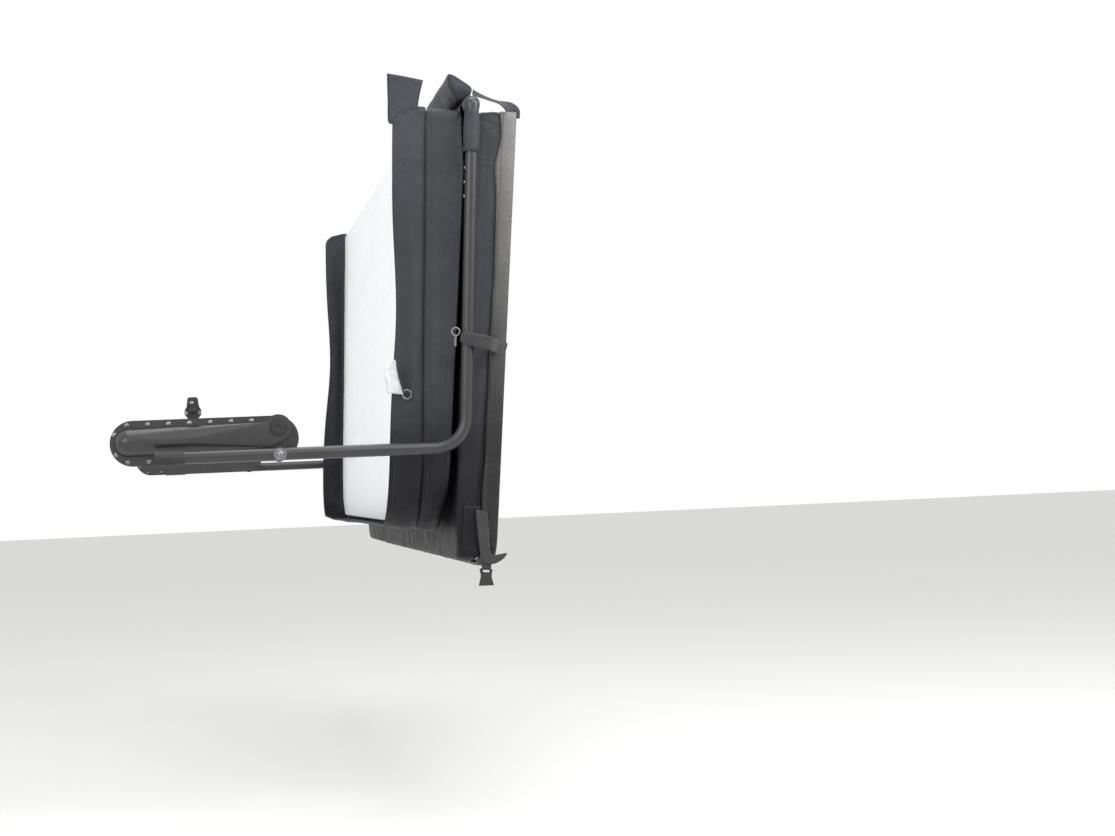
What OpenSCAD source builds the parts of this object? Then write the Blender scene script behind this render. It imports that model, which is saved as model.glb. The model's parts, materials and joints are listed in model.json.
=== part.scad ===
// Spa cover: two tapered foam halves folded over the cross bar of a side-mounted lifter.
// The origin lies on the lift pivot axis, in the near bracket's mounting face.
// +X points away from the tub, +Y runs along the fold to the far bracket, +Z is up.

/* [Cover] */
// Width of the cover along the fold
cover_w = 1980; // [1600:10:2300]
// Length of the rear half, from the fold to its outer edge
rear_len = 765; // [600:5:900]
// Length of the front half
front_len = 815; // [600:5:900]
// Foam thickness at the fold
fold_t = 72; // [55:1:100]
// Foam thickness at the outer edge
edge_t = 46; // [40:1:70]
// Plan radius of the rear half's outer corners
rear_corner_r = 140; // [60:5:200]
// Plan radius of the front half's outer corners
front_corner_r = 50; // [20:5:200]
// Depth of the skirt past the underside
skirt_d = 56; // [30:1:80]
// Thickness of the vinyl
vinyl_t = 2; // [1:0.5:3]
// Angle that the folded cover leans from the vertical
hang = 4.8; // [0:0.1:6]

/* [Lifter] */
// Outer diameter of the steel tube
tube_d = 22; // [20:1:28]
// Wall thickness of the steel tube
tube_wall = 1.8; // [1.2:0.1:3]
// Height of the arm's lower leg below the pivot
arm_drop = 48; // [44:1:60]
// Distance from the pivot to the arm's corner
arm_reach = 329.5; // [280:0.5:380]
// Length of the arm's upright leg, from the corner to the cross bar
arm_rise = 616; // [520:1:700]
// Angle that the upright leg leans away from the tub
arm_lean = 3.5; // [1:0.1:6]
// Centre line radius of the arm's bend
bend_r = 55; // [40:1:80]
// Distance from the mounting face to the middle of the tube
tube_out = 50; // [48:1:60]

/* [Bracket] */
// Distance between the two mounting faces
cabinet_w = 1950; // [1570:10:2270]
// Distance from the pivot to the middle of the bracket's round left end
bracket_l = 254.5; // [240:0.5:280]
// Radius of the bracket's round ends
bracket_r = 40.5; // [38:0.5:45]
// Thickness of the base plate
plate_t = 3; // [2:0.5:5]
// Pitch of the screws along the top of the flange
screw_pitch = 36.4; // [30:0.1:38]
// Radius of the screw holes
screw_hole_r = 2.6; // [2:0.1:3]

/* [Hidden] */
$fn = 48;

tube_r = tube_d / 2;
bore_r = tube_r - tube_wall;
bar_x = arm_reach + arm_rise * sin(arm_lean);
bar_z = -arm_drop + arm_rise * cos(arm_lean);
cover_y = (cabinet_w - cover_w) / 2;
bracket_z = -18.5;         // middle of the bracket's height
flange_t = 2;              // the housing's flange
top_row_z = 14.3;          // top row of screws
low_row_z = -51;           // bottom row of screws
row_x = -264.6;            // first screw of the top row
crank_y = 6;               // inner face of the crank, from the mounting face
crank_t = 5;
pivot_r = 4.5;
run = 0.05;                // radial clearance of a running fit
weld = 0.02;               // overlap that fuses the upright leg to the bend
hole_pitch = 25.4;         // pitch of the holes that set the arm's length
spring_y = 15.5;           // gas spring axis, from the mounting face
anchor = [-268, -22];      // gas spring's fixed end, in X and Z
crank_pin_r = 9;           // gas spring's lever on the crank
crank_pin_a = 40;          // its angle at rest
rod_eye = crank_pin_r * [cos(crank_pin_a), sin(crank_pin_a)];
spring_v = rod_eye - anchor;
spring_len = norm(spring_v);
spring_tilt = atan2(spring_v[1], spring_v[0]);
bar_gap = tube_r + 1;      // from the bar's axis to the top face of each half
fold_gap = 5;              // from the bar's axis to each half's fold edge
screw_points = concat(
    [for (i = [0:6]) [row_x + i * screw_pitch, top_row_z]],
    [[-287, -1.7], [-284, -37]],
    [for (i = [0:1]) [row_x + i * screw_pitch, low_row_z]]
);
keeper_x = -148;
keeper_z = 41;
keeper_holes = [[-2, 8.5], [-12, -9], [11, -9]];

// The same thing on the far side of the tub
module far() {
    translate([0, cabinet_w, 0]) mirror([0, 1, 0]) children();
}

module both() {
    children();
    far() children();
}

// Stands a flat outline up in the XZ plane, from depth y0 out to y1 in front of the mounting face
module slab(y0, y1) {
    translate([0, -y0, 0]) rotate([90, 0, 0]) linear_extrude(y1 - y0) children();
}

// A rod along Y at x, z, from depth y0 out to y1
module rod(x, z, r, y0, y1) {
    slab(y0, y1) translate([x, z]) circle(r);
}

module stadium(x0, x1, z, r) {
    translate([x0, z]) circle(r);
    translate([x1, z]) circle(r);
    translate([x0, z - r]) square([x1 - x0, 2 * r]);
}

// ---- Bracket ----

module bracket_outline() {
    difference() {
        stadium(-bracket_l, -4, bracket_z, bracket_r);
        for (p = screw_points) translate(p) circle(screw_hole_r);
    }
}

module base_plate() {
    color([0.10, 0.10, 0.11])
    difference() {
        union() {
            slab(0, plate_t) bracket_outline();
            rod(0, 0, 14, plate_t, crank_y - 0.5);
        }
        rod(0, 0, pivot_r, -1, crank_y);
        rod(anchor[0], anchor[1], 4, -1, plate_t + 1);
    }
}
module base_plate_near() base_plate();
module base_plate_far() far() base_plate();

// The raised part of the housing, larger by grow
module bulge(grow) {
    deep = [1, 1.25, 1];
    neck = [-25, -12.6, 20];
    hull() {
        translate([-262, 0, -17]) scale(deep) sphere(23 + grow);
        translate([-150, 0, -16]) scale(deep) sphere(23 + grow);
        rod(neck[0], neck[1], neck[2] + grow, 0, 20 + grow);
    }
    hull() {
        rod(neck[0], neck[1], neck[2] + grow, 0, 20 + grow);
        rod(0, 0, 21 + grow, 0, 20 + grow);
    }
}

module housing() {
    color([0.09, 0.09, 0.10])
    difference() {
        union() {
            slab(plate_t, plate_t + flange_t) bracket_outline();
            intersection() {
                bulge(2.5);
                translate([-400, -60, -100]) cube([500, 60 - plate_t, 200]);
            }
        }
        bulge(0);
        // the slot that the crank swings in
        slab(plate_t - 1, crank_y + crank_t + 1) polygon(concat([[-22, -14]],
            [for (a = [-118:8:26]) 72 * [cos(a), sin(a)]], [[0, 20]]));
        rod(0, 0, pivot_r, -1, 40);
        rod(0, 0, 15.3, 22.5, 45); // the seat of the pivot cap
    }
}
module housing_near() housing();
module housing_far() far() housing();

module pan_screw(x, z, y, head_r, shank_r, shank) {
    rod(x, z, shank_r, y - shank, y);
    difference() {
        intersection() {
            rod(x, z, head_r, y, y + 3);
            translate([x, -y + head_r * 1.1, z]) sphere(head_r * 1.1 + 2.6);
        }
        translate([x - 0.4, -y - 4, z - 2]) cube([0.8, 2, 4]);
        translate([x - 2, -y - 4, z - 0.4]) cube([4, 2, 0.8]);
    }
}

module flange_screws() {
    color([0.80, 0.80, 0.82])
    both() for (p = screw_points)
        pan_screw(p[0], p[1], plate_t + flange_t, 4, 2.5, plate_t + flange_t + 20);
}

module pivot_pins() {
    color([0.70, 0.70, 0.72])
    both() rod(0, 0, pivot_r, 0, crank_y + crank_t + 0.4);
}

module pivot_caps() {
    color([0.12, 0.12, 0.13])
    both() difference() {
        union() {
            rod(0, 0, pivot_r - run, 20.5, 22.5);
            rod(0, 0, 15, 22.5, 25.5);
            rod(0, 0, 12.5, 25.5, 27);
        }
        translate([0, -31, 0]) sphere(6);
    }
}

module spring_anchor_pins() {
    color([0.70, 0.70, 0.72])
    both() rod(anchor[0], anchor[1], 4, 0, 22.5);
}

// ---- Strap keeper ----

module keeper_outline() {
    difference() {
        polygon([[-9, -19], [9, -19], [14, -13], [15, -5], [11, 2], [9, 17], [6, 19],
                 [-6, 19], [-9, 17], [-11, 2], [-15, -5], [-14, -13]]);
        for (p = keeper_holes) translate(p) circle(2.2);
    }
}

module strap_keeper() {
    color([0.08, 0.08, 0.09])
    translate([keeper_x, 0, keeper_z]) {
        slab(0, 2.5) keeper_outline();
        difference() {
            slab(2.5, 12) translate([-8, -7]) square([16, 9]);
            translate([-5.5, -9.5, -20]) cube([11, 5, 40]);
        }
    }
}
module strap_keeper_near() strap_keeper();
module strap_keeper_far() far() strap_keeper();

module keeper_screws() {
    color([0.80, 0.80, 0.82])
    both() for (p = keeper_holes)
        pan_screw(keeper_x + p[0], keeper_z + p[1], 2.5, 3.6, 2.1, 18);
}

// ---- Lift frame ----

module crank() {
    color([0.11, 0.11, 0.12])
    difference() {
        union() {
            rod(0, 0, 19, crank_y, crank_y + crank_t);
            rod(0, -arm_drop, 13, crank_y, crank_y + crank_t);
            slab(crank_y, crank_y + crank_t)
                polygon([[-18, -3], [18, -3], [12, -arm_drop], [-12, -arm_drop]]);
        }
        rod(0, 0, pivot_r + run, 0, 20);
        rod(0, -arm_drop, 4, 0, 20);
    }
}
module crank_near() crank();
module crank_far() far() crank();

module tube_section() {
    difference() {
        circle(tube_r);
        circle(bore_r);
    }
}

// The bent tube, drawn from the middle of its bend: its lower leg, the bend and the upright leg
module arm_tube() {
    turn = 90 - arm_lean;
    bend_t = bend_r * tan(turn / 2);
    translate([arm_reach - bend_t, -tube_out, bend_r - arm_drop]) rotate([90, 0, 0])
        rotate([0, 0, -90]) {
            translate([bend_r, 0, 0]) rotate([90, 0, 0])
                linear_extrude(171 + arm_reach - bend_t) tube_section();
            rotate_extrude(angle = turn) translate([bend_r, 0]) tube_section();
            rotate([0, 0, turn]) translate([bend_r, -weld, 0]) rotate([-90, 0, 0])
                linear_extrude(arm_rise - bend_t - 14 + weld) tube_section();
        }
}

// Places things on the upright leg: z is measured down from the cross bar
module on_leg() {
    translate([bar_x, -tube_out, bar_z]) rotate([0, arm_lean, 0]) children();
}

module arm() {
    color([0.13, 0.13, 0.14])
    difference() {
        arm_tube();
        rod(0, -arm_drop, 4, 0, 100);
        on_leg() for (i = [0:2]) translate([-30, 0, -116 - i * hole_pitch])
            rotate([0, 90, 0]) cylinder(r = 3, h = 60);
    }
}
module arm_near() arm();
module arm_far() far() arm();

module arm_end_sleeves() {
    color([0.06, 0.06, 0.065])
    both() translate([0, -tube_out, -arm_drop]) rotate([0, 90, 0]) difference() {
        translate([0, 0, -218]) cylinder(r = tube_r + 1.5, h = 52);
        translate([0, 0, -171]) cylinder(r = tube_r, h = 60);
    }
}

module arm_spacers() {
    color([0.12, 0.12, 0.13])
    both() difference() {
        rod(0, -arm_drop, 8, crank_y + crank_t, tube_out);
        rod(0, -arm_drop, 4, 0, 100);
        translate([-100, -tube_out, -arm_drop]) rotate([0, 90, 0])
            cylinder(r = tube_r, h = 200);
    }
}

module arm_washers() {
    color([0.78, 0.78, 0.80])
    both() difference() {
        rod(0, -arm_drop, 11.5, tube_out + tube_r, tube_out + tube_r + 2);
        rod(0, -arm_drop, 4, 0, 100);
    }
}

module arm_bolts() {
    head_y = tube_out + tube_r + 2;
    color([0.74, 0.74, 0.76])
    both() {
        rod(0, -arm_drop, 4, crank_y, head_y);
        intersection() {
            rod(0, -arm_drop, 7.5, head_y, head_y + 5);
            translate([0, -head_y + 4, -arm_drop]) sphere(9);
        }
    }
}

module adjusting_pins() {
    color([0.80, 0.80, 0.82])
    both() on_leg() for (i = [0:2]) translate([0, 0, -116 - i * hole_pitch])
        rotate([0, -90, 0]) cylinder(r = 3, h = tube_r + 1.5);
}

module elbow() {
    color([0.10, 0.10, 0.11])
    difference() {
        on_leg() {
            sphere(tube_r + 1.5);
            translate([0, 0, -34]) cylinder(r = tube_r + 1.5, h = 34);
            rotate([-90, 0, 0]) cylinder(r = tube_r + 1.5, h = 28);
        }
        on_leg() {
            translate([0, 0, -40]) cylinder(r = tube_r, h = 26);
            translate([0, 6, 0]) rotate([-90, 0, 0]) cylinder(r = tube_r, h = 40);
        }
    }
}
module elbow_near() elbow();
module elbow_far() far() elbow();

module cross_bar() {
    color([0.13, 0.13, 0.14])
    translate([bar_x, 6 - tube_out, bar_z]) rotate([-90, 0, 0]) difference() {
        cylinder(r = tube_r, h = cabinet_w / 2 + tube_out - 7);
        translate([0, 0, -1]) cylinder(r = bore_r, h = cabinet_w);
    }
}
module cross_bar_near() cross_bar();
module cross_bar_far() far() cross_bar();

module bar_coupler() {
    color([0.60, 0.60, 0.62])
    translate([bar_x, cabinet_w / 2 - 150, bar_z]) rotate([-90, 0, 0]) difference() {
        cylinder(r = bore_r, h = 300);
        translate([0, 0, -1]) cylinder(r = bore_r - 2, h = 302);
    }
}

// Vinyl sock over each end of the bar, where the arm turns into it
module elbow_boot() {
    color([0.07, 0.07, 0.075])
    on_leg() difference() {
        union() {
            sphere(16);
            translate([0, 0, -86]) cylinder(r = 15, h = 86);
            rotate([-90, 0, 0]) cylinder(r = 15, h = 31);
        }
        translate([0, 0, -90]) cylinder(r = 13, h = 90);
        sphere(13);
        rotate([-90, 0, 0]) cylinder(r = 13, h = 40);
    }
}
module elbow_boot_near() elbow_boot();
module elbow_boot_far() far() elbow_boot();

// ---- Gas springs ----

// Places things on the gas spring's axis: x runs from the anchor to the crank
module on_spring() {
    translate([anchor[0], -spring_y, anchor[1]]) rotate([0, -spring_tilt, 0]) children();
}

module lying(x, r, h) {
    translate([x, 0, 0]) rotate([0, 90, 0]) cylinder(r = r, h = h);
}

module gas_cylinder() {
    color([0.05, 0.05, 0.055])
    difference() {
        on_spring() difference() {
            union() {
                lying(10, 7, 140);
                lying(0, 4.6, 12);
                rotate([90, 0, 0]) translate([0, 0, -5]) cylinder(r = 8, h = 10);
            }
            lying(20, 5.5, 125);
            lying(140, 3 + run, 20);
        }
        rod(anchor[0], anchor[1], 4 + run, 0, 40);
    }
}
module gas_cylinder_near() gas_cylinder();
module gas_cylinder_far() far() gas_cylinder();

module gas_rod() {
    color([0.82, 0.82, 0.84])
    on_spring() {
        lying(130, 3, spring_len - 133);
        lying(126, 5.4, 5);
        translate([spring_len, 3.8, 0]) rotate([90, 0, 0]) cylinder(r = 4.8, h = 7.6);
        translate([spring_len, spring_y - crank_y - crank_t - 0.5, 0]) rotate([90, 0, 0])
            cylinder(r = 3, h = 6);
    }
}
module gas_rod_near() gas_rod();
module gas_rod_far() far() gas_rod();

// ---- Cover ----

// The folded cover's frame: origin on the bar's axis at the near end, Z up along the fold
module in_cover() {
    translate([bar_x, cover_y, bar_z]) rotate([0, hang, 0]) children();
}

// Plan of one half, inset all round except at the fold, which is inset by at_fold
module plan(len, r, inset, at_fold) {
    w = cover_w - 2 * inset;
    h = len - inset;
    c = r - inset;
    translate([0, inset]) {
        translate([-h + c, 0]) square([h - c - at_fold, w]);
        translate([-h, c]) square([c, w - 2 * c]);
        translate([-h + c, c]) circle(c);
        translate([-h + c, w - c]) circle(c);
    }
}

// A tapered slab of one half. a and b are its distances from the bar's axis, at the fold and
// at the outer edge; the plan is inset all round and by at_fold at the fold.
module layer(len, r, a, b, inset, at_fold) {
    reach = 400;
    translate([0, 0, -fold_gap]) intersection() {
        translate([reach / 2, 0, 0]) rotate([0, -90, 0]) linear_extrude(reach)
            plan(len, r, inset, at_fold);
        translate([0, cover_w + 50, 0]) rotate([90, 0, 0]) linear_extrude(cover_w + 100)
            polygon([[-a[0], 20], [-b[0], 20], [-b[0], 0], [-b[1], -len - 20],
                     [-a[1], -len - 20], [-a[0], 0]]);
    }
}

top = [bar_gap, bar_gap];
under = [bar_gap + fold_t, bar_gap + edge_t];
skin = [vinyl_t, vinyl_t];

module foam(len, r) {
    difference() {
        layer(len, r, top + skin, under - skin, vinyl_t, vinyl_t);
        channel_block();
    }
}

module channel_block() {
    translate([-under[0] + 8, 25, -fold_gap - 40]) difference() {
        cube([fold_t - 16, cover_w - 50, 40 - vinyl_t]);
        translate([2, -1, -2]) cube([fold_t - 20, cover_w, 38 - vinyl_t]);
    }
}

module shell(len, r) {
    difference() {
        layer(len, r, top, under, 0, 0);
        layer(len, r, top + skin, under + skin, vinyl_t, vinyl_t);
    }
}

module liner(len, r) {
    layer(len, r, under - skin, under, vinyl_t, vinyl_t);
}

// Zip along the fold edge, with its slider near one end
module zip() {
    translate([-under[0] + 10, 60, -fold_gap]) {
        cube([14, cover_w - 120, 1]);
        translate([4, 0, 1]) cube([6, cover_w - 120, 0.8]);
        translate([3, 40, 1.8]) cube([8, 14, 0.6]);
    }
}

module rear_foam() color([0.93, 0.93, 0.90]) in_cover() foam(rear_len, rear_corner_r);
module rear_channel() color([0.70, 0.71, 0.72]) in_cover() channel_block();
module rear_shell() color([0.10, 0.10, 0.11]) in_cover() shell(rear_len, rear_corner_r);
module rear_liner() color([0.85, 0.87, 0.89]) in_cover() liner(rear_len, rear_corner_r);
module rear_zip() color([0.05, 0.05, 0.05]) in_cover() zip();

module rear_skirt() {
    depth = [skirt_d, skirt_d];
    color([0.10, 0.10, 0.11])
    in_cover() difference() {
        layer(rear_len, rear_corner_r, under, under + depth, 0, 0);
        layer(rear_len, rear_corner_r, under - skin, under + depth + skin, vinyl_t + 1, -30);
    }
}

// A flap at the near end of the rear skirt, which overlaps the front skirt when the cover is closed
module overlap_flap() {
    color([0.10, 0.10, 0.11])
    in_cover() rotate([90, 0, 0]) translate([0, 0, -vinyl_t - 3]) linear_extrude(vinyl_t)
        polygon([[-94, -3], [-94, -40], [-138, -40], [-146, -36], [-152, 52], [-86.5, 44]]);
}

module hinge_vinyl() {
    color([0.08, 0.08, 0.085])
    in_cover() rotate([90, 0, 0]) translate([0, 0, -cover_w + 5]) linear_extrude(cover_w - 10)
        difference() {
            union() {
                circle(tube_r + 4);
                translate([-tube_r - 4, -fold_gap + 0.3]) square([2 * tube_r + 8, fold_gap]);
            }
            circle(tube_r + 2);
            translate([-40, -40 - fold_gap]) square([80, 40]);
            translate([-tube_r - 2, -fold_gap]) square([2 * tube_r + 4, fold_gap]);
        }
}

// Padded roll that seals the fold: a rounded section that leans over the rear half
module hinge_seal() {
    color([0.09, 0.09, 0.10])
    in_cover() rotate([90, 0, 0]) translate([0, 0, -cover_w + 5]) linear_extrude(cover_w - 10)
        polygon([[-37, 60], [-17, 51], [2, 39], [4, 31], [0, 22], [-10, 16], [-20, 12],
                 [-28, 19], [-36, 32], [-42, 46], [-42, 56]]);
}

module care_tag() {
    color([0.90, 0.91, 0.92])
    in_cover() translate([-117, -0.5, -465]) rotate([90, 0, 0]) linear_extrude(2)
        polygon([[0, 0], [-11, -12], [-18, -24], [-14, -40], [-9, -60], [15, -64],
                 [18, -54], [6, -30]]);
}

module tag_ring() {
    color([0.55, 0.56, 0.58])
    in_cover() translate([-92, -4.2, -526]) rotate([90, 0, 0])
        rotate_extrude() translate([8, 0]) circle(1.4);
}

module front_side() {
    in_cover() mirror([1, 0, 0]) children();
}

module front_foam() color([0.93, 0.93, 0.90]) front_side() foam(front_len, front_corner_r);
module front_channel() color([0.70, 0.71, 0.72]) front_side() channel_block();
module front_shell() color([0.10, 0.10, 0.11]) front_side() shell(front_len, front_corner_r);
module front_liner() color([0.85, 0.87, 0.89]) front_side() liner(front_len, front_corner_r);
module front_zip() color([0.05, 0.05, 0.05]) front_side() zip();

// The front half's skirt lies turned back over its edge
module front_skirt() {
    inner = [55, 51];
    outer = [84, 80];
    color([0.22, 0.22, 0.23])
    front_side() difference() {
        layer(front_len, front_corner_r, inner, outer, -3, 0);
        layer(front_len, front_corner_r, inner - skin, outer + skin, 0, -30);
    }
}

// Strap that ties the package to the arm, and the hook on its end
module bar_strap() {
    w = 25;
    color([0.08, 0.08, 0.085])
    in_cover() translate([0, 0, -425]) rotate([0, 12, 0]) linear_extrude(w)
        polygon([[-5, -49.5], [55, -49.5], [74, -6.2], [84, -6.2], [84, -4],
                 [72.5, -4], [53, -47.3], [-5, -47.3]]);
}

module bar_strap_hook() {
    color([0.62, 0.62, 0.64])
    in_cover() translate([-14, -48.4, -412]) rotate([90, 0, 0]) {
        rotate_extrude() translate([7, 0]) circle(1.6);
        translate([-2, -26, -1.2]) cube([4, 20, 2.4]);
    }
}

module tie_strap() {
    color([0.09, 0.09, 0.095])
    in_cover() translate([0, -3.5, 0]) rotate([90, 0, 0]) linear_extrude(2)
        polygon([[41, -728], [61, -734], [72, -828], [54, -828]]);
}

module tie_buckle() {
    color([0.06, 0.06, 0.065])
    in_cover() translate([64, -3.5, -830]) rotate([90, 0, 0]) {
        difference() {
            linear_extrude(5) polygon([[-12, -4.5], [-5.5, 0], [5.5, 0], [11, -4.2],
                                       [10, -16], [15, -32], [-12, -34], [-9, -16]]);
            translate([-6, -9, -1]) cube([12, 4, 8]);
        }
        translate([0, 0, 5]) linear_extrude(1.5)
            polygon([[-5, 0], [5, 0], [5, -3], [-5, -3]]);
    }
}

base_plate_near();
base_plate_far();
housing_near();
housing_far();
flange_screws();
pivot_pins();
pivot_caps();
spring_anchor_pins();
strap_keeper_near();
strap_keeper_far();
keeper_screws();
crank_near();
crank_far();
arm_near();
arm_far();
arm_end_sleeves();
arm_spacers();
arm_bolts();
arm_washers();
adjusting_pins();
elbow_near();
elbow_far();
cross_bar_near();
cross_bar_far();
bar_coupler();
elbow_boot_near();
elbow_boot_far();
gas_cylinder_near();
gas_cylinder_far();
gas_rod_near();
gas_rod_far();
rear_foam();
rear_channel();
rear_shell();
rear_liner();
rear_skirt();
rear_zip();
overlap_flap();
hinge_vinyl();
hinge_seal();
care_tag();
tag_ring();
front_foam();
front_channel();
front_shell();
front_liner();
front_skirt();
front_zip();
bar_strap();
bar_strap_hook();
tie_strap();
tie_buckle();
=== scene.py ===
# The looks of a folded spa cover and its lifter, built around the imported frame.
import json
import math

import bmesh
import bpy
import numpy as np
from mathutils import Matrix, Vector, noise


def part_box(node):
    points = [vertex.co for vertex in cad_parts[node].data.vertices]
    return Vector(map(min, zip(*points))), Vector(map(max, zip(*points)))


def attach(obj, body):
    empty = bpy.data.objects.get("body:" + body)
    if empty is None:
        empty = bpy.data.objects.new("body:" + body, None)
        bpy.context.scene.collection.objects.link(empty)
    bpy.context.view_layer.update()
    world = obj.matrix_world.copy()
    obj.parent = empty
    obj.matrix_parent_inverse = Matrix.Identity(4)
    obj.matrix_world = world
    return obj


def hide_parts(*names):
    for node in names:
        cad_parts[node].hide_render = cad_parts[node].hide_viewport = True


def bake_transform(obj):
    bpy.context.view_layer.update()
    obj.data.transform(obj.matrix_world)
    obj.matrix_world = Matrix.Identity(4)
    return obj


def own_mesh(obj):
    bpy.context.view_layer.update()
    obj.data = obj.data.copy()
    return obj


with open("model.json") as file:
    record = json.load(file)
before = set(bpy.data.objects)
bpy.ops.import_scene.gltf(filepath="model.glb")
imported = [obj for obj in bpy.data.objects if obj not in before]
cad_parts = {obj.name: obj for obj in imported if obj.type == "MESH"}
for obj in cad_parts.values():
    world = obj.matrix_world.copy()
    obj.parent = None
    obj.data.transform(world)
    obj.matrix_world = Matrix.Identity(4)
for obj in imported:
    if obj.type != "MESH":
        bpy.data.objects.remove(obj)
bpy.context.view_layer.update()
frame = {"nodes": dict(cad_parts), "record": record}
scene = bpy.context.scene

# ---- Camera: first, so that everything after it can be framed ----

SENSOR, LENS = 36, 71.0314
CAMERA_AT = Vector((-0.1622, -3.9524, -0.1092))
YAW, PITCH, ROLL = 0.1676, 0.0268, -0.0430

forward = Vector((math.sin(YAW) * math.cos(PITCH), math.cos(YAW) * math.cos(PITCH), math.sin(PITCH)))
level = Vector((math.cos(YAW), -math.sin(YAW), 0))
upright = level.cross(forward)
right = math.cos(ROLL) * level + math.sin(ROLL) * upright
up = -math.sin(ROLL) * level + math.cos(ROLL) * upright
camera = bpy.data.objects.new("camera", bpy.data.cameras.new("camera"))
camera.data.sensor_width = SENSOR
camera.data.lens = LENS
axes = Matrix((right, up, -forward)).transposed()
camera.matrix_world = Matrix.Translation(CAMERA_AT) @ axes.to_4x4()
scene.collection.objects.link(camera)
scene.camera = camera

# ---- The cover's own frame: x across the fold, y along it, z up along the hanging halves ----

bar_low, bar_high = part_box("cross_bar_near")
BAR_X, BAR_Z = (bar_low.x + bar_high.x) / 2, (bar_low.z + bar_high.z) / 2
shell_low, shell_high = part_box("rear_shell")
NEAR_Y, WIDTH = shell_low.y, shell_high.y - shell_low.y
HANG = math.radians(4.8)             # the halves' slant about the bar
LEAN = math.radians(3.5)             # the lifter's legs' slant about the bar
REAR, FRONT = -1, 1
LENGTH = {REAR: 0.765, FRONT: 0.815}
CORNER = {REAR: 0.140, FRONT: 0.050}
FOLD_T, EDGE_T = 0.072, 0.046        # foam at the fold and at the outer edge
BAR_GAP, FOLD_GAP = 0.012, 0.005     # from the bar's axis to the halves, across and along them
LEG_Y = -0.050
BODY = {REAR: "rear_half", FRONT: "front_half"}
WORD = {REAR: "rear", FRONT: "front"}


def tilted(points, angle, y0):
    """Points (x, y, z) beside the bar's axis, turned by angle about it, in the row frame."""
    p = np.asarray(points, float).reshape(-1, 3)
    c, s = math.cos(angle), math.sin(angle)
    return np.stack([BAR_X + p[:, 0] * c + p[:, 2] * s, y0 + p[:, 1],
                     BAR_Z - p[:, 0] * s + p[:, 2] * c], 1)


def cover(points):
    """Points of the cover's own frame, in the row frame."""
    return tilted(points, HANG, NEAR_Y)


def cover_vectors(v):
    """Directions of the cover's own frame, in the row frame."""
    return cover(v) - cover([(0, 0, 0)])


def bell(v, middle, width):
    return math.exp(-((v - middle) / width) ** 2)


def wave(x, y, z, seed=0.0):
    """Smooth noise between about -1 and 1."""
    return noise.noise(Vector((x + seed, y + 3.7 * seed, z - 1.3 * seed)))


def ramp(v, a, b):
    """From 0 at a to 1 at b, with a soft start and end."""
    t = min(1.0, max(0.0, (v - a) / (b - a)))
    return t * t * (3 - 2 * t)


# ---- Meshes ----

def mesh_piece(name, points, faces, finish):
    mesh = bpy.data.meshes.new(name)
    mesh.from_pydata([tuple(map(float, p)) for p in points], [], faces)
    bm = bmesh.new()
    bm.from_mesh(mesh)
    bmesh.ops.recalc_face_normals(bm, faces=bm.faces)
    bm.to_mesh(mesh)
    bm.free()
    mesh.polygons.foreach_set("use_smooth", [True] * len(mesh.polygons))
    mesh.materials.append(finish)
    piece = bpy.data.objects.new(name, mesh)
    scene.collection.objects.link(piece)
    return piece


def grid_faces(rows, columns, start=0, closed=False):
    """Quads of a grid of points; closed joins its last column to its first."""
    faces = []
    for i in range(rows - 1):
        for j in range(columns - (0 if closed else 1)):
            k = (j + 1) % columns
            faces.append((start + i * columns + j, start + i * columns + k,
                          start + (i + 1) * columns + k, start + (i + 1) * columns + j))
    return faces


def thicken(piece, thickness):
    """Gives a sheet its thickness, half to each side."""
    m = piece.modifiers.new("thickness", "SOLIDIFY")
    m.thickness = thickness
    m.offset = 0.0
    return piece


def tube(name, line, radius, finish, sides=10, closed=False, wrinkle=0.0):
    """A tube along a line of points; radius is a number or one per point."""
    line = [Vector(p) for p in line]
    n = len(line)
    radii = radius if hasattr(radius, "__len__") else [radius] * n
    side = None
    points = []
    for i, p in enumerate(line):
        a = line[(i - 1) % n] if closed or i > 0 else p
        b = line[(i + 1) % n] if closed or i < n - 1 else p
        along = (b - a).normalized()
        if side is None:
            side = along.orthogonal().normalized()
        side = (side - along * side.dot(along)).normalized()
        other = along.cross(side)
        for k in range(sides):
            t = 2 * math.pi * k / sides
            out = side * math.cos(t) + other * math.sin(t)
            r = radii[i]
            if wrinkle:
                q = p + out * r
                r += wrinkle * wave(q.x * 60, q.y * 60, q.z * 110)
            points.append(p + out * r)
    faces = grid_faces(n, sides, closed=True)
    if closed:
        last = (n - 1) * sides
        faces += [(last + k, last + (k + 1) % sides, (k + 1) % sides, k) for k in range(sides)]
    else:
        faces += [tuple(range(sides)), tuple((n - 1) * sides + k for k in range(sides))]
    return mesh_piece(name, points, faces, finish)


def ribbon(name, line, across, finish, thickness=0.0018, crown=0.0):
    """A strap along a line of points; across holds one width vector per point."""
    columns = 7
    points = []
    for i, (p, w) in enumerate(zip(line, across)):
        p, w = Vector(p), Vector(w)
        a, b = Vector(line[max(0, i - 1)]), Vector(line[min(len(line) - 1, i + 1)])
        out = (b - a).cross(w)
        out = out.normalized() if out.length > 1e-9 else Vector((0, -1, 0))
        for j in range(columns):
            u = j / (columns - 1) - 0.5
            points.append(p + w * u + out * crown * (1 - 4 * u * u))
    piece = mesh_piece(name, points, grid_faces(len(line), columns), finish)
    return thicken(piece, thickness)


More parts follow.
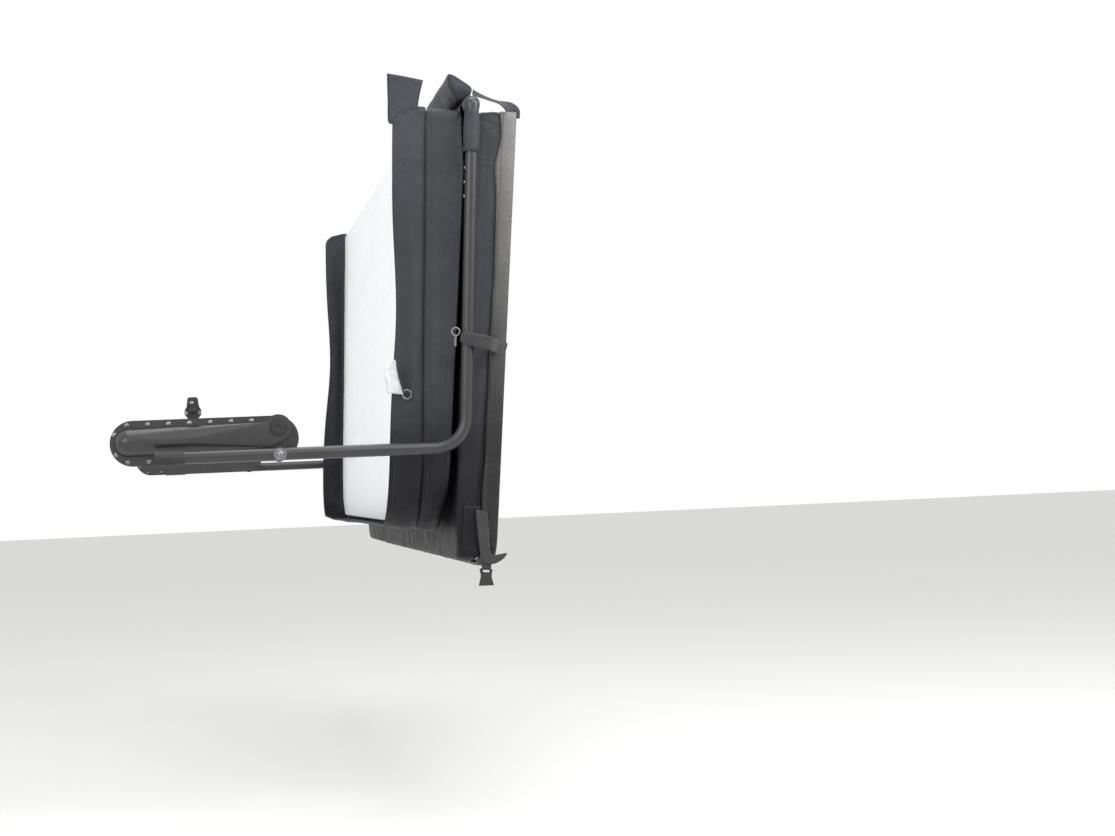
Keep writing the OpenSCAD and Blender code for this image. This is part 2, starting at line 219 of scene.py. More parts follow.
def curve_through(points, steps=8):
    """A Catmull-Rom line through points of any dimension."""
    p = [np.asarray(q, float) for q in points]
    p = [2 * p[0] - p[1], *p, 2 * p[-1] - p[-2]]
    line = []
    for i in range(1, len(p) - 2):
        for k in range(steps):
            t = k / steps
            line.append(0.5 * ((2 * p[i]) + (p[i + 1] - p[i - 1]) * t
                               + (2 * p[i - 1] - 5 * p[i] + 4 * p[i + 1] - p[i + 2]) * t * t
                               + (3 * p[i] - p[i - 1] - 3 * p[i + 1] + p[i + 2]) * t ** 3))
    line.append(p[-2])
    return line


def stitches(name, line, normals, finish, pitch=0.0055, length=0.0034, width=0.0009):
    """Short raised stitches at an even pitch along a line."""
    line, normals = np.asarray(line, float), np.asarray(normals, float)
    steps = np.linalg.norm(np.diff(line, axis=0), axis=1)
    far = np.concatenate([[0], np.cumsum(steps)])
    places = np.arange(pitch, far[-1] - pitch, pitch)
    centre = np.stack([np.interp(places, far, line[:, k]) for k in range(3)], 1)
    ahead = np.stack([np.interp(places + pitch / 2, far, line[:, k]) for k in range(3)], 1)
    out = np.stack([np.interp(places, far, normals[:, k]) for k in range(3)], 1)
    points, faces = [], []
    for c, a, n in zip(centre, ahead, out):
        t = a - c
        t /= np.linalg.norm(t)
        n = n / np.linalg.norm(n)
        b = np.cross(t, n)
        k = len(points)
        for s in (-1, 1):
            end, top = c + s * t * length / 2, c + s * t * length * 0.28
            points += [end - n * 0.0006, top + b * width / 2 + n * 0.0005,
                       top - b * width / 2 + n * 0.0005, top + n * 0.0008]
        faces += [(k, k + 1, k + 3), (k, k + 3, k + 2), (k + 4, k + 7, k + 5), (k + 4, k + 6, k + 7),
                  (k + 1, k + 5, k + 7, k + 3), (k + 2, k + 3, k + 7, k + 6),
                  (k, k + 4, k + 5, k + 1), (k, k + 2, k + 6, k + 4)]
    return mesh_piece(name, points, faces, finish)


# ---- Finishes ----

def node_kit(material):
    """A material's node tree, and a function that adds a node with its settings."""
    tree = material.node_tree

    def add(kind, **values):
        node = tree.nodes.new(kind)
        for key, value in values.items():
            if hasattr(node, key):
                setattr(node, key, value)
            else:
                node.inputs[key.replace("_", " ")].default_value = value
        return node

    return tree, add


A, B = 6, 7                          # the colour inputs of a mix node
MIXED = 2                            # and its colour output


def set_range(node, side, low, high):
    node.inputs[side + " Min"].default_value, node.inputs[side + " Max"].default_value = low, high


def surface(name, dark, light, rough, metallic=0.0, cloud=6.0, grain="pebble", scale=700.0,
            depth=0.0002, crease=0.0, stretch=(1, 1, 1), specular=0.5, coat=0.0, sheen=0.0,
            high=None, painted_light_heights=(0, 1)):
    """A procedural finish: two tones in clouds, grain in relief, and roughness in smears.

    high holds two lighter tones of painted light, the top of the folded cover lit from above; the last
    argument holds the heights between which they take over from dark and light.
    """
    material = bpy.data.materials.new(name)
    material.use_nodes = True
    tree, add = node_kit(material)
    link = tree.links.new
    shader = tree.nodes["Principled BSDF"]
    shader.inputs["Metallic"].default_value = metallic
    shader.inputs["Specular IOR Level"].default_value = specular
    shader.inputs["Coat Weight"].default_value = coat
    shader.inputs["Coat Roughness"].default_value = 0.35
    shader.inputs["Sheen Weight"].default_value = sheen
    shader.inputs["Sheen Roughness"].default_value = 0.5
    place = add("ShaderNodeTexCoord")
    spread = add("ShaderNodeMapping", Scale=stretch)
    link(place.outputs["Object"], spread.inputs["Vector"])
    clouds = add("ShaderNodeTexNoise", Scale=cloud, Detail=5.0, Roughness=0.6)
    link(spread.outputs["Vector"], clouds.inputs["Vector"])
    tone = add("ShaderNodeMapRange")
    set_range(tone, "From", 0.32, 0.68)
    link(clouds.outputs["Fac"], tone.inputs["Value"])
    mixed = add("ShaderNodeMix", data_type="RGBA")
    mixed.inputs[A].default_value = (*dark, 1)
    mixed.inputs[B].default_value = (*light, 1)
    link(tone.outputs["Result"], mixed.inputs[0])
    color = mixed.outputs[MIXED]
    # Painted light: lighter tones take over towards the top of the cover, by height, as if lit from
    # above.
    if high:
        painted_light_tone = add("ShaderNodeMix", data_type="RGBA")
        painted_light_tone.inputs[A].default_value = (*high[0], 1)
        painted_light_tone.inputs[B].default_value = (*high[1], 1)
        link(tone.outputs["Result"], painted_light_tone.inputs[0])
        split = add("ShaderNodeSeparateXYZ")
        link(place.outputs["Object"], split.inputs["Vector"])
        rise = add("ShaderNodeMapRange", interpolation_type="SMOOTHSTEP")
        set_range(rise, "From", *painted_light_heights)
        link(split.outputs["Z"], rise.inputs["Value"])
        both = add("ShaderNodeMix", data_type="RGBA")
        link(rise.outputs["Result"], both.inputs[0])
        link(color, both.inputs[A])
        link(painted_light_tone.outputs[MIXED], both.inputs[B])
        color = both.outputs[MIXED]
    link(color, shader.inputs["Base Color"])
    smear = add("ShaderNodeTexNoise", Scale=cloud * 4.3, Detail=4.0)
    link(spread.outputs["Vector"], smear.inputs["Vector"])
    gloss = add("ShaderNodeMapRange")
    set_range(gloss, "From", 0.3, 0.7)
    set_range(gloss, "To", *rough)
    link(smear.outputs["Fac"], gloss.inputs["Value"])
    link(gloss.outputs["Result"], shader.inputs["Roughness"])
    if grain == "pebble":
        fine = add("ShaderNodeTexVoronoi", feature="SMOOTH_F1", Scale=scale, Smoothness=0.6)
        height = fine.outputs["Distance"]
        link(spread.outputs["Vector"], fine.inputs["Vector"])
    elif grain == "weave":
        fine = add("ShaderNodeMath", operation="ADD")
        for k, axis in enumerate(("X", "Z")):
            threads = add("ShaderNodeTexWave", bands_direction=axis, Scale=scale, Distortion=0.6,
                          Detail=1.0)
            threads.inputs["Detail Scale"].default_value = 0.3
            link(spread.outputs["Vector"], threads.inputs["Vector"])
            link(threads.outputs["Fac"], fine.inputs[k])
        height = fine.outputs["Value"]
    else:
        fine = add("ShaderNodeTexNoise", Scale=scale, Detail=3.0)
        link(spread.outputs["Vector"], fine.inputs["Vector"])
        height = fine.outputs["Fac"]
    relief = add("ShaderNodeBump", Strength=1.0, Distance=depth)
    link(height, relief.inputs["Height"])
    normal = relief.outputs["Normal"]
    if crease:
        lines = add("ShaderNodeTexNoise", Scale=14.0, Detail=6.0, Roughness=0.55, Distortion=1.2)
        link(spread.outputs["Vector"], lines.inputs["Vector"])
        ridge = add("ShaderNodeMapRange")
        set_range(ridge, "From", 0.42, 0.60)
        link(lines.outputs["Fac"], ridge.inputs["Value"])
        folds = add("ShaderNodeBump", Strength=1.0, Distance=crease)
        link(ridge.outputs["Result"], folds.inputs["Height"])
        link(normal, folds.inputs["Normal"])
        normal = folds.outputs["Normal"]
    link(normal, shader.inputs["Normal"])
    return material


# Painted light: the high tones make the vinyl lighter towards the top of the folded cover, where the
# light falls on it.
vinyl = surface(
    "marine_vinyl", (0.003, 0.003, 0.005), (0.007, 0.007, 0.010), (0.46, 0.62), cloud=5,
    scale=620, crease=0.0010, specular=0.24,
    high=((0.031, 0.032, 0.039), (0.046, 0.048, 0.056)), painted_light_heights=(-0.16, 0.18))
# Painted reflection: the high tones paint the front skirt's turned band light grey towards the top,
# standing in for light glancing off it.
slick_vinyl = surface(
    "turned_vinyl", (0.004, 0.004, 0.005), (0.009, 0.009, 0.010), (0.32, 0.46), cloud=4,
    scale=620, crease=0.0012, specular=0.35, coat=0.08,
    high=((0.150, 0.146, 0.143), (0.220, 0.215, 0.210)), painted_light_heights=(-0.08, 0.66))
foil = surface(
    "foil_liner", (0.90, 0.92, 0.95), (0.95, 0.96, 0.97), (0.42, 0.58), metallic=0.1, cloud=3,
    grain="weave", scale=180, depth=0.0003, crease=0.0012)
foam = surface(
    "foam_core", (0.86, 0.86, 0.82), (0.95, 0.95, 0.92), (0.7, 0.9), scale=320, depth=0.0006)
coated = surface(
    "coated_steel", (0.010, 0.010, 0.012), (0.017, 0.017, 0.019), (0.28, 0.40), cloud=18,
    grain="noise", scale=1500, depth=0.00006, specular=0.55, coat=0.35)
bright = surface(
    "bright_steel", (0.17, 0.17, 0.18), (0.27, 0.27, 0.28), (0.32, 0.46), metallic=1.0, cloud=60,
    grain="noise", scale=900, depth=0.00004, stretch=(1, 1, 0.25))
galvanised = surface(
    "galvanised_steel", (0.48, 0.49, 0.50), (0.66, 0.67, 0.68), (0.35, 0.6), metallic=1.0,
    cloud=40, grain="noise", scale=300, depth=0.00008)
plastic = surface(
    "black_plastic", (0.016, 0.016, 0.018), (0.024, 0.024, 0.026), (0.45, 0.62), cloud=30,
    grain="noise", scale=1800, depth=0.00008, specular=0.4)
webbing = surface(
    "webbing", (0.022, 0.022, 0.024), (0.038, 0.038, 0.041), (0.55, 0.75), cloud=40,
    grain="weave", scale=420, depth=0.0005, specular=0.35, sheen=0.2)
tag = surface(
    "tag_fabric", (0.66, 0.67, 0.69), (0.88, 0.89, 0.90), (0.45, 0.65), cloud=30,
    grain="weave", scale=600, crease=0.0015)
thread = surface(
    "thread", (0.045, 0.045, 0.048), (0.07, 0.07, 0.074), (0.5, 0.7), cloud=200,
    grain="noise", scale=3000, depth=0.0001)

FINISH = {"marine_vinyl": vinyl, "foil_liner": foil, "foam_core": foam, "coated_steel": coated,
          "bright_steel": bright, "galvanised_steel": galvanised, "black_plastic": plastic,
          "webbing": webbing, "tag_fabric": tag}
for part in frame["record"]["subparts"]:
    if part["node"] in frame["nodes"]:
        data = frame["nodes"][part["node"]].data
        data.materials.clear()
        data.materials.append(FINISH[part["material_slot"]])


# ---- The padded halves ----

EDGE_R = 0.010                       # of the rounding along the halves' edges
WELT = 0.0048                        # straight part between that rounding and the side panel
VALLEY, VALLEY_DEPTH = 0.010, 0.0032  # of the seam where the side panel meets the underside
CROWN = 0.007                        # bulge of the two top faces into the gap of the fold
NEAR_FACE = 0.003                    # points this close to a flat face belong to it


def under(side, d):
    """Distance of a half's underside from the bar's axis, at d from its fold edge."""
    return BAR_GAP + FOLD_T + (EDGE_T - FOLD_T) * d / LENGTH[side]


def spaced(total, step):
    """Places from 0 to total, closer together at both ends."""
    close = [0, 0.002, 0.005, 0.009, 0.015, 0.024, 0.036]
    inner = np.linspace(close[-1], total - close[-1], int((total - 2 * close[-1]) / step) + 1)
    return np.concatenate([close[:-1], inner, (total - np.array(close[:-1]))[::-1]])


def plan_grid(width, length, r_outer, r_fold, step):
    """A grid over a half's plan, whose corners are pulled in to round ones."""
    ys, ds = spaced(width, step), spaced(length, step)
    y0, d0 = np.meshgrid(ys, ds, indexing="ij")
    y, d = y0.copy(), d0.copy()
    for r, fold in ((r_outer, False), (r_fold, True)):
        for near in (True, False):
            cy = r if near else width - r
            cd = r if fold else length - r
            a = (cy - y0) / r if near else (y0 - cy) / r
            b = (cd - d0) / r if fold else (d0 - cd) / r
            inside = (a > 0) & (b > 0)
            a2 = a * np.sqrt(np.clip(1 - b * b / 2, 0, None))
            b2 = b * np.sqrt(np.clip(1 - a * a / 2, 0, None))
            y = np.where(inside, cy + (-a2 if near else a2) * r, y)
            d = np.where(inside, cd + (-b2 if fold else b2) * r, d)
    return y, d


def rim(ny, nd):
    """The indices round a grid's edge."""
    return ([(0, j) for j in range(nd)] + [(i, nd) for i in range(ny)]
            + [(ny, j) for j in range(nd, 0, -1)] + [(i, 0) for i in range(ny, 0, -1)])


def outward(points):
    """Outward normals of a closed loop of (y, d) points."""
    t = np.roll(points, -1, axis=0) - np.roll(points, 1, axis=0)
    t /= np.linalg.norm(t, axis=1)[:, None]
    return np.stack([-t[:, 1], t[:, 0]], 1)


def pad(side):
    """One half: a tapered foam slab in vinyl, with soft edges, seam grooves and slack in the vinyl."""
    length = LENGTH[side]
    y, d = plan_grid(WIDTH - 2 * EDGE_R, length - 2 * EDGE_R, CORNER[side] - EDGE_R, 0.005, 0.017)
    y, d = y + EDGE_R, d + EDGE_R
    ny, nd = y.shape[0] - 1, y.shape[1] - 1
    thick = under(side, d) - BAR_GAP
    top = np.stack([y.ravel(), d.ravel(), 0 * y.ravel()], 1)
    base = np.stack([y.ravel(), d.ravel(), thick.ravel()], 1)
    ring = rim(ny, nd)
    flat = [i * (nd + 1) + j for i, j in ring]
    edge = top[flat, :2]
    normals = outward(edge)
    t_edge = base[flat, 2]
    turn = [math.pi / 2 * k / 3 for k in range(1, 4)]
    profile = [(EDGE_R * math.sin(a), EDGE_R * (1 - math.cos(a))) for a in turn]
    profile += [(EDGE_R + 0.0004, EDGE_R + WELT / 2), (EDGE_R + 0.0009, EDGE_R + WELT)]
    inset = EDGE_R + WELT
    rings = [np.column_stack([edge + normals * o, 0 * t_edge + t]) for o, t in profile]
    for k in range(1, 9):
        belly = EDGE_R + 0.0022 * math.sin(math.pi * k / 9)
        rings.append(np.column_stack([edge + normals * belly, inset + (t_edge - 2 * inset) * (k / 9)]))
    rings += [np.column_stack([edge + normals * o, t_edge - t]) for o, t in profile[::-1]]
    n, m = len(top), len(flat)
    points = np.concatenate([top, base, *rings])
    faces = grid_faces(ny + 1, nd + 1) + grid_faces(ny + 1, nd + 1, n)
    loops = [flat] + [[2 * n + r * m + k for k in range(m)] for r in range(len(rings))]
    loops.append([n + k for k in flat])
    for a, b in zip(loops, loops[1:]):
        faces += [(a[k], a[(k + 1) % m], b[(k + 1) % m], b[k]) for k in range(m)]
    local = np.column_stack([side * (BAR_GAP + points[:, 2]), points[:, 0], -FOLD_GAP - points[:, 1]])
    piece = mesh_piece(WORD[side] + "_pad", cover(local), faces, vinyl)
    mesh = piece.data
    for v, (x, across, z) in zip(mesh.vertices, local):
        end = 1 - ramp(min(across, WIDTH - across), 0.0, 0.12)
        move = 0.0017 * wave(x * 24, across * 2.0, z * 2.4, side)
        move += 0.0006 * wave(x * 60, across * 3, z * 3, side)
        move += 0.0010 * end * wave(x * 36, across * 3, z * 12, 5 + side)
        if abs(v.normal.x) > 0.8:
            move += min(0.0005, 0.0022 * wave(across * 2.2, 0.3, z * 5.0, 2 + side))
        from_bar, from_under = side * x - BAR_GAP, under(side, -z - FOLD_GAP) - side * x
        if abs(v.normal.x) < 0.9:
            move -= VALLEY_DEPTH * bell(from_under, NEAR_FACE, VALLEY)
        # Nothing stands out into the hinge, the gap of the fold or the foil.
        if z > -FOLD_GAP - 0.004 or from_bar < NEAR_FACE or from_under < NEAR_FACE:
            move = min(move, 0.0)
        if from_bar < NEAR_FACE:
            move += CROWN * ramp(-z, 0.03, 0.12) * ramp(length + z, 0.0, 0.10)
        v.co += v.normal * move
    mesh.update()
    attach(piece, BODY[side])
    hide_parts(WORD[side] + "_foam", WORD[side] + "_shell")


pad(REAR)
pad(FRONT)


def outline(side, step):
    """Points (y, d) round a half's near end, outer edge and far end, with their outward normals and
    their distances along it."""
    length, r = LENGTH[side], CORNER[side]
    turn = [math.pi * k / 48 for k in range(25)]
    raw = [(0, 0.0)] + [(r - r * math.cos(a), length - r + r * math.sin(a)) for a in turn]
    raw += [(WIDTH - r + r * math.sin(a), length - r + r * math.cos(a)) for a in turn] + [(WIDTH, 0.0)]
    raw = np.array(raw)
    far = np.concatenate([[0], np.cumsum(np.linalg.norm(np.diff(raw, axis=0), axis=1))])
    s = np.linspace(0, far[-1], int(far[-1] / step) + 1)
    p = np.stack([np.interp(s, far, raw[:, k]) for k in range(2)], 1)
    t = np.gradient(p, axis=0)
    t /= np.linalg.norm(t, axis=1)[:, None]
    n = np.stack([-t[:, 1], t[:, 0]], 1)
    return p, n, s


def sew(name, line, normals, body, **sizes):
    """A row of stitches along a line of the cover's frame, riding on a body."""
    row = stitches(name, line, normals, thread, **sizes)
    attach(row, body)
    return row


def seams(side):
    """The stitches where a half's side panel meets its underside."""
    p, n, _ = outline(side, 0.012)
    out = cover_vectors(np.column_stack([np.zeros(len(n)), n[:, 0], -n[:, 1]]))
    seam = under(side, p[:, 1]) - EDGE_R - 0.004
    q = p + n * 0.0014
    line = np.column_stack([side * seam, q[:, 0], -FOLD_GAP - q[:, 1]])
    sew(WORD[side] + "_stitches", cover(line), out, BODY[side])


seams(REAR)
seams(FRONT)


def liner(side):
    """The foil underside, stretched over the foam with light puckers."""
    inset = 0.011
    width, length = WIDTH - 2 * inset, LENGTH[side] - 2 * inset
    y, d = plan_grid(width, length, CORNER[side] - inset, 0.005, 0.015)
    faces = grid_faces(*y.shape)
    y, d = (y + inset).ravel(), (d + inset).ravel()
    pucker = [0.0016 + 0.0010 * abs(wave(a * 7, b * 7, 0, side)) + 0.0006 * wave(a * 26, b * 20, 1, side)
              for a, b in zip(y, d)]
    points = np.column_stack([side * (under(side, d) + np.array(pucker)), y, -FOLD_GAP - d])
    piece = mesh_piece(WORD[side] + "_foil", cover(points), faces, foil)
    thicken(piece, 0.0010)
    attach(piece, BODY[side])
    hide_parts(WORD[side] + "_liner")


liner(REAR)
liner(FRONT)

# ---- Skirts ----

SKIRT_D = 0.056                      # how far the rear skirt hangs past the underside
SKIRT_CORNER = 0.034                 # rounding of its hem at its two ends


def rear_skirt():
    """The rear skirt hangs past the underside; its hem rolls inwards half way down."""
    p, n, s = outline(REAR, 0.010)
    total = s[-1]
    rows = 13
    points, hem, hem_out = [], [], []
    for i in range(len(p)):
        e = min(s[i], total - s[i])
        mid = bell(e, 0.36, 0.20)
        tilt = math.radians(6 + 38 * mid + 9 * wave(s[i] * 2.3, 0, 0, 1))
        slackness = ramp(e, 0.0, 0.05)
        short = max(0.0, 1 - e / SKIRT_CORNER)
        reach = SKIRT_D * max(0.15, math.sqrt(1 - short * short))
        for j in range(rows):
            u = j / (rows - 1)
            depth = reach * u + 0.004 * (u - 1)
            bend = tilt * (0.35 + 0.65 * u)
            off = -math.sin(bend) * depth * 0.92
            off += u * (0.0030 * wave(s[i] * 4.0, u, 0, 2) + 0.0016 * wave(s[i] * 13, 2 * u, 0, 3))
            ripple = math.sin(2 * math.pi * (1.25 * u + 0.25 * wave(s[i] * 1.6, 0, 0, 4)))
            off += 0.0036 * slackness * mid * ripple
            off -= 0.0050 * bell(u, 0, 0.16)
            dist = under(REAR, p[i, 1]) + math.cos(bend) * depth
            q = p[i] + n[i] * (off + 0.0008)
            points.append((-dist, q[0], -FOLD_GAP - q[1]))
            if j == rows - 3:
                hem.append(points[-1])
                hem_out.append((0, n[i, 0], -n[i, 1]))
    piece = mesh_piece("rear_skirt_vinyl", cover(points), grid_faces(len(p), rows), vinyl)
    thicken(piece, 0.0018)
    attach(piece, "rear_half")
    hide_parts("rear_skirt")
    out = cover_vectors(hem_out)
    row = sew("rear_skirt_stitches", cover(hem) + out * 0.0011, out, "rear_half")


def front_skirt():
    """The front skirt, turned back over its edge: a rounded band that stands off the side."""
    p, n, s = outline(FRONT, 0.010)
    total = s[-1]
    points, hem, hem_out = [], [], []
    for i in range(len(p)):
        f = p[i, 1] / LENGTH[FRONT]
        e = min(s[i], total - s[i])
        root, outer, inner = under(FRONT, p[i, 1]), 0.084 - 0.004 * f, 0.055 - 0.004 * f
        wobble = 0.0042 * wave(s[i] * 5.0, 0, 0, 6) + 0.0018 * wave(s[i] * 15, 0, 0, 7)
        wobble += 0.0045 * bell(e, 0.045, 0.035) - 0.003 * bell(e, 0.10, 0.03)
        puff = 1 + 0.35 * wave(s[i] * 3.3, 0, 0, 8)
        shape = [(root - 0.004, 0.0002), ((root + outer) / 2, 0.0008), (outer + 0.0004, 0.0022),
                 (outer + 0.0012, 0.0048), (outer - 0.0022, 0.0078 * puff),
                 ((outer + inner) / 2, 0.0092 * puff), (inner + 0.006, 0.0070), (inner + wobble, 0.0040)]
        line = curve_through(shape, 2)
        for j, (dist, off) in enumerate(line):
            q = p[i] + n[i] * (off + 0.0009 * wave(s[i] * 22, j * 0.5, 0, 9))
            points.append((dist, q[0], -FOLD_GAP - q[1]))
            if j == len(line) - 3:
                hem.append(points[-1])
                hem_out.append((0, n[i, 0], -n[i, 1]))
    faces = grid_faces(len(p), len(points) // len(p))
    piece = mesh_piece("front_skirt_vinyl", cover(points), faces, slick_vinyl)
    thicken(piece, 0.0016)
    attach(piece, "front_half")
    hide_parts("front_skirt")
    out = cover_vectors(hem_out)
    row = sew("front_skirt_stitches", cover(hem) + out * 0.0014, out, "front_half")


rear_skirt()
front_skirt()

# ---- The fold: vinyl over the bar, the padded seal and the loose ends beside it ----


def hinge():
    """Vinyl that runs over the bar from one half's top face to the other's."""
    half = [(0.0130, -0.030), (0.0136, -0.012), (0.0150, -0.002), (0.0142, 0.006), (0.0090, 0.0125)]
    arch = [(-x, z) for x, z in half] + [(0.0, 0.0150)] + half[::-1]
    line = curve_through(arch, 3)
    ys = np.linspace(0.022, WIDTH - 0.022, 170)
    points = []
    for y in ys:
        for x, z in line:
            lift = 1 + 0.10 * wave(y * 11, x * 30, 0, 11) * ramp(z, -0.012, 0.004)
            points.append((x * lift, y, z * lift if z > 0 else z))
    piece = mesh_piece("hinge_vinyl_cover", cover(points), grid_faces(len(ys), len(line)), vinyl)
    thicken(piece, 0.0014)
    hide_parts("hinge_vinyl")
    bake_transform(piece)


def seal():
    """The padded roll along the fold, folded over towards the rear half."""
    ys = np.concatenate([np.linspace(0.005, 0.02, 5), np.linspace(0.03, WIDTH - 0.03, 150),
                         np.linspace(WIDTH - 0.02, WIDTH - 0.005, 5)])
    corners = [(-0.036, 0.0595), (-0.017, 0.0505), (0.001, 0.039), (0.0035, 0.031),
               (-0.001, 0.0225), (-0.010, 0.0165), (-0.020, 0.0125), (-0.028, 0.0195),
               (-0.0355, 0.032), (-0.0415, 0.046), (-0.0415, 0.0555)]
    steps = 4
    sides = steps * len(corners)
    loop = curve_through(corners * 3, steps)[sides:2 * sides]   # the middle one of three rounds
    middle = np.mean(loop, axis=0)
    points = []
    for y in ys:
        e = min(y, WIDTH - y) - 0.005
        close = 0.95 + 0.08 * ramp(e, 0.0, 0.010)
        for corner in loop:
            q = (corner - middle) * close
            r = 1 + 0.045 * wave(q[0] * 60, y * 9, q[1] * 60, 12)
            r += 0.02 * wave(q[0] * 150, y * 26, q[1] * 150, 13)
            q = middle + q * r
            points.append((q[0], y, q[1]))
    faces = grid_faces(len(ys), sides, closed=True)
    faces += [tuple(range(sides)), tuple((len(ys) - 1) * sides + k for k in range(sides))]
    piece = mesh_piece("hinge_seal_roll", cover(points), faces, vinyl)
    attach(piece, "rear_half")
    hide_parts("hinge_seal")
    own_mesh(piece)


hinge()
seal()


def overlap_flap():
    """A flap from inside the rear skirt's end that stands above the fold."""
    outer = [(-0.1385, -0.040), (-0.1465, -0.034), (-0.1485, 0.0), (-0.1505, 0.028), (-0.1520, 0.052)]
    inner = [(-0.094, -0.040), (-0.094, -0.026), (-0.0935, -0.003), (-0.0905, 0.022), (-0.0862, 0.044)]
    outer, inner = curve_through(outer, 5), curve_through(inner, 5)
    columns = 9
    points = []
    for i, (a, b) in enumerate(zip(outer, inner)):
        h = i / (len(outer) - 1)
        for j in range(columns):
            u = j / (columns - 1)
            q = a * (1 - u) + b * u
            inside = 0.0045 - 0.0025 * math.sin(math.pi * u) * h + 0.0014 * h * wave(u * 3, h * 4, 0, 15)
            points.append((q[0], inside, q[1]))
    piece = mesh_piece("overlap_flap_vinyl", cover(points), grid_faces(len(outer), columns), vinyl)
    thicken(piece, 0.0018)
    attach(piece, "rear_half")
    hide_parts("overlap_flap")


overlap_flap()


def skirt_end(label, y0, out):
    """The front skirt's loose end, twisted back to the fold's seal."""
    places = [(0.079, -0.004, -0.016), (0.078, -0.005, -0.004), (0.070, -0.004, 0.006),
              (0.052, 0.000, 0.013), (0.034, 0.006, 0.019), (0.018, 0.010, 0.025),
              (0.006, 0.012, 0.030)]
    widths = [(0.026, -0.002, 0.002), (0.024, -0.002, 0.012), (0.012, 0.012, 0.016),
              (0.002, 0.020, 0.008), (0.002, 0.020, 0.008), (0.002, 0.018, 0.010),
              (0.002, 0.014, 0.012)]
    line, across = curve_through(places, 6), curve_through(widths, 6)
    line = [(x, y0 + out * y, z) for x, y, z in line]
    across = [(x, out * y, z) for x, y, z in across]
    piece = ribbon(f"front_skirt_end_{label}", cover(line), cover_vectors(across), vinyl,
                   thickness=0.0016, crown=0.0015)
    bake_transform(piece)


skirt_end("near", 0.0, 1)
skirt_end("far", WIDTH, -1)

# ---- Boots over the bar's ends ----


def on_leg(points, label):
    """Points beside a leg's top, for the near leg or mirrored for the far one."""
    p = tilted(points, LEAN, LEG_Y)
    if label == "far":
        p[:, 1] = 2 * (NEAR_Y + WIDTH / 2) - p[:, 1]
    return p


def boot(label):
    """A wrinkled vinyl sleeve round the bar's elbow, with a hem."""
    path = [(0, 0, -0.086), (0, 0, -0.060), (0, 0, -0.034), (0, 0, -0.014), (0, 0.002, -0.003),
            (0, 0.009, 0.0022), (0, 0.020, 0.0026), (0, 0.031, 0.0020)]
    line = curve_through(path, 5)
    radii = [0.0140 + 0.0012 * math.sin(9 * f) + 0.0015 * bell(f, 0.62, 0.12) + 0.0012 * bell(f, 0, 0.03)
             for f in (i / (len(line) - 1) for i in range(len(line)))]
    piece = tube(f"elbow_boot_{label}_vinyl", on_leg(line, label), radii, vinyl, sides=28,
                 wrinkle=0.0014)
    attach(piece, "lift_frame")
    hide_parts("elbow_boot_" + label)
    hem = [(0.0148 * math.cos(a), 0.0148 * math.sin(a), -0.083 + 0.003 * math.cos(a))
           for a in np.linspace(0, 2 * math.pi, 40, endpoint=False)]
    band = tube(f"elbow_boot_{label}_hem", on_leg(hem, label), 0.0012, vinyl, sides=8, closed=True)
    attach(band, "lift_frame")


boot("near")
boot("far")

# ---- Straps and the tag ----


def strap(name, places, widths, replaced=()):
    """A strip of webbing on the front half, through places of the cover's frame."""
    line, across = curve_through(places, 7), curve_through(widths, 7)
    piece = ribbon(name, cover(line), cover_vectors(across), webbing)
    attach(piece, "front_half")
    if replaced:
        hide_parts(*replaced)


strap("bar_strap_webbing",
      [(-0.005, -0.0484, -0.4215), (0.010, -0.0484, -0.4235), (0.030, -0.0484, -0.4265),
       (0.051, -0.0480, -0.4300), (0.058, -0.0370, -0.4315), (0.065, -0.0210, -0.4330),
       (0.0715, -0.0080, -0.4345), (0.078, -0.0052, -0.4360), (0.084, -0.0052, -0.4370)],
      [(0.002, 0, 0.013), (0.004, 0, 0.022)] + [(0.005, 0, 0.024)] * 7,
      ("bar_strap",))
strap("tie_strap_webbing",
      [(0.051, -0.0096, -0.7290), (0.053, -0.0112, -0.7480), (0.056, -0.0118, -0.7750),
       (0.060, -0.0114, -0.8020), (0.063, -0.0104, -0.8240), (0.064, -0.0092, -0.8310)],
      [(0.020, 0, -0.004), (0.021, 0.001, -0.003), (0.020, 0.002, -0.002),
       (0.019, 0.001, -0.001), (0.018, 0, 0), (0.017, 0, 0)],
      ("tie_strap",))
strap("tie_strap_tail",
      [(0.052, -0.0115, -0.8120), (0.066, -0.0130, -0.8150), (0.078, -0.0135, -0.8150),
       (0.090, -0.0130, -0.8100), (0.099, -0.0120, -0.8040)],
      [(-0.001, 0, 0.018), (-0.001, 0.001, 0.017), (-0.003, 0.002, 0.015),
       (-0.005, 0.001, 0.009), (-0.002, 0, 0.002)])


def patch():
    """The stitched patch, low on the front half's near end, that the strap is sewn to."""
    rows, columns = 14, 9
    width, height = 0.034, 0.092
    points = []
    for i in range(rows):
        z = -0.720 - height * i / (rows - 1)
        for j in range(columns):
            x = 0.0185 + width * j / (columns - 1)
            off = 0.0022 + 0.0012 * wave(x * 90, z * 30, 0, 21)
            points.append((x, -off, z))
    piece = mesh_piece("strap_patch", cover(points), grid_faces(rows, columns), vinyl)
    thicken(piece, 0.0014)
    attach(piece, "front_half")
    line = [(0.0195 + 0.032 * k / 12, -0.0042, -0.7235) for k in range(13)]
    out = cover_vectors([(0, -1, 0)] * len(line))
    row = sew("strap_patch_stitches", cover(line), out, "front_half", pitch=0.004, length=0.0028)


patch()


